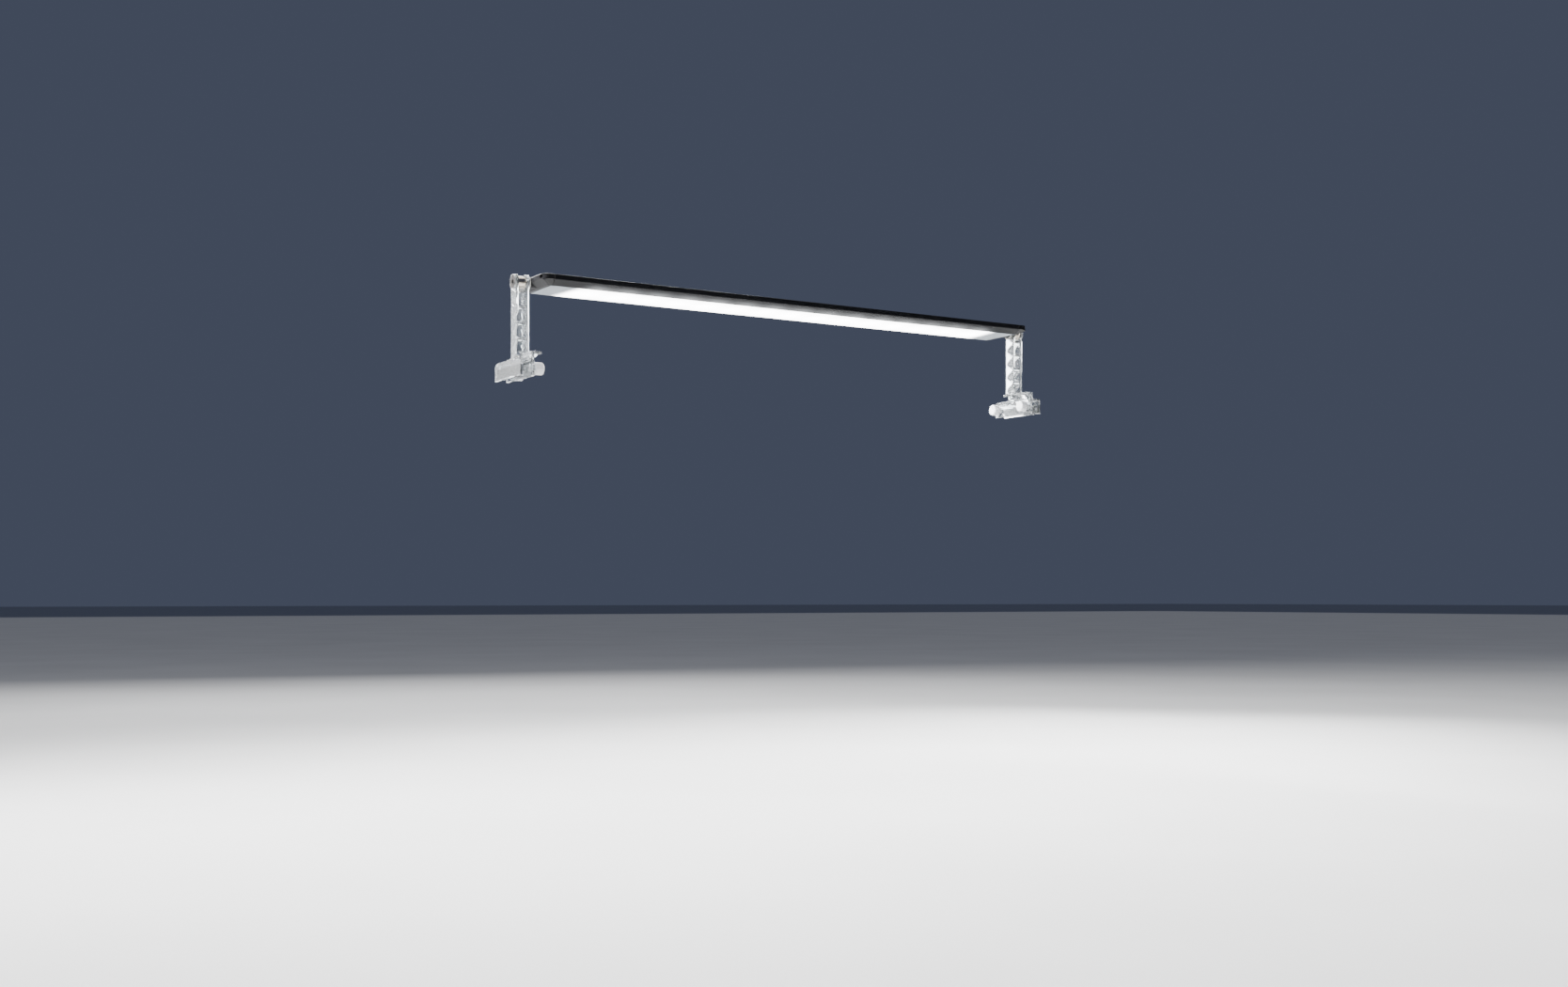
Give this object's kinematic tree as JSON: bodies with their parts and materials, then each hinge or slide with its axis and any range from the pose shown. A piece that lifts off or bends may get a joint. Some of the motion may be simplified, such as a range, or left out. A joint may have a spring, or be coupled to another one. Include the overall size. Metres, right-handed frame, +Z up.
{
  "type": "led aquarium light",
  "caption": "Slim LED bar with an opal window, tilting between two clear arms that clamp over the side glass of a small tank.",
  "frame": {"origin": "on the table under the middle of the lamp, halfway between the clamps", "axes": "+X along the lamp to its right end, +Y to the rear where the power jack is, +Z up"},
  "size_m": [0.4536, 0.05, 0.0767],
  "materials": {
    "black_aluminium": "black anodised, fine satin",
    "black_plastic": "moulded, fine texture",
    "black_rubber": "smooth",
    "stainless_steel": "fine turned",
    "black_steel": "blackened, satin",
    "nickel_plate": "plated",
    "brass": "turned",
    "grey_pad": "soft, matt",
    "circuit_board": "white solder mask",
    "led_phosphor": "phosphor resin",
    "electronics": "moulded",
    "white_film": "matt white film",
    "white_window": "opal, lit from behind",
    "nylon": "smooth",
    "clear_plastic": "clear, polished",
    "clear_silicone": "milky, soft",
    "frosted_nylon": "frosted"
  },
  "bodies": {
    "lamp": {"lamp_housing": "black_aluminium", "end_cap_left": "black_plastic", "end_cap_right": "black_plastic", "cap_gasket_left": "black_rubber", "cap_gasket_right": "black_rubber", "cap_screws": "stainless_steel", "threaded_inserts": "brass", "thermal_pad": "grey_pad", "led_board": "circuit_board", "led_chips": "led_phosphor", "board_resistors": "electronics", "reflector_sheet": "white_film", "diffuser_window": "white_window", "inlet_housing": "black_plastic", "inlet_gasket": "black_rubber", "inlet_screws": "stainless_steel", "dc_inlet": "nickel_plate", "inlet_nut": "nickel_plate", "driver_board": "circuit_board", "driver_parts": "electronics", "link_header": "electronics", "hinge_screw_left": "black_steel", "hinge_screw_right": "black_steel", "spring_washer_left": "stainless_steel", "spring_washer_right": "stainless_steel", "friction_washer_left": "nylon", "friction_washer_right": "nylon"},
    "arm_left": {"arm_left": "clear_plastic", "hinge_sleeve_left": "stainless_steel", "clamp_left": "clear_plastic", "glass_pad_left": "clear_silicone", "foot_screw_left": "stainless_steel"},
    "arm_right": {"arm_right": "clear_plastic", "hinge_sleeve_right": "stainless_steel", "clamp_right": "clear_plastic", "glass_pad_right": "clear_silicone", "foot_screw_right": "stainless_steel"},
    "tip_front_left": {"screw_tip_front_left": "clear_silicone"},
    "thumbscrew_front_left": {"thumbscrew_front_left": "frosted_nylon"},
    "tip_rear_left": {"screw_tip_rear_left": "clear_silicone"},
    "thumbscrew_rear_left": {"thumbscrew_rear_left": "frosted_nylon"},
    "tip_front_right": {"screw_tip_front_right": "clear_silicone"},
    "thumbscrew_front_right": {"thumbscrew_front_right": "frosted_nylon"},
    "tip_rear_right": {"screw_tip_rear_right": "clear_silicone"},
    "thumbscrew_rear_right": {"thumbscrew_rear_right": "frosted_nylon"}
  },
  "joints": [
    {"name": "arm_left_fold", "type": "hinge", "parent": "lamp", "child": "arm_left", "pos_m": [-0.2176, 0, 0.0668], "axis": [1, 0, 0], "range_deg": [-90, 90]},
    {"name": "tip_front_left_travel", "type": "slide", "parent": "arm_left", "child": "tip_front_left", "axis": [-1, 0, 0], "range_m": [-0.0004, 0.0014]},
    {"name": "thumbscrew_front_left_turn", "type": "hinge", "parent": "tip_front_left", "child": "thumbscrew_front_left", "pos_m": [-0.2136, -0.0175, 0.0058], "axis": [-1, 0, 0], "range_deg": [-210, 725]},
    {"name": "tip_rear_left_travel", "type": "slide", "parent": "arm_left", "child": "tip_rear_left", "axis": [-1, 0, 0], "range_m": [-0.0004, 0.0014]},
    {"name": "thumbscrew_rear_left_turn", "type": "hinge", "parent": "tip_rear_left", "child": "thumbscrew_rear_left", "pos_m": [-0.2136, 0.0175, 0.0058], "axis": [-1, 0, 0], "range_deg": [-210, 725]},
    {"name": "arm_right_fold", "type": "hinge", "parent": "lamp", "child": "arm_right", "pos_m": [0.2176, 0, 0.0668], "axis": [1, 0, 0], "range_deg": [-90, 90]},
    {"name": "tip_front_right_travel", "type": "slide", "parent": "arm_right", "child": "tip_front_right", "axis": [1, 0, 0], "range_m": [-0.0004, 0.0014]},
    {"name": "thumbscrew_front_right_turn", "type": "hinge", "parent": "tip_front_right", "child": "thumbscrew_front_right", "pos_m": [0.2136, -0.0175, 0.0058], "axis": [1, 0, 0], "range_deg": [-210, 725]},
    {"name": "tip_rear_right_travel", "type": "slide", "parent": "arm_right", "child": "tip_rear_right", "axis": [1, 0, 0], "range_m": [-0.0004, 0.0014]},
    {"name": "thumbscrew_rear_right_turn", "type": "hinge", "parent": "tip_rear_right", "child": "thumbscrew_rear_right", "pos_m": [0.2136, 0.0175, 0.0058], "axis": [1, 0, 0], "range_deg": [-210, 725]}
  ],
  "couplings": [
    {"joint": "thumbscrew_front_left_turn", "follows": "tip_front_left_travel", "rad_per_m": 8976},
    {"joint": "thumbscrew_rear_left_turn", "follows": "tip_rear_left_travel", "rad_per_m": 8976},
    {"joint": "thumbscrew_front_right_turn", "follows": "tip_front_right_travel", "rad_per_m": 8976},
    {"joint": "thumbscrew_rear_right_turn", "follows": "tip_rear_right_travel", "rad_per_m": 8976}
  ]
}
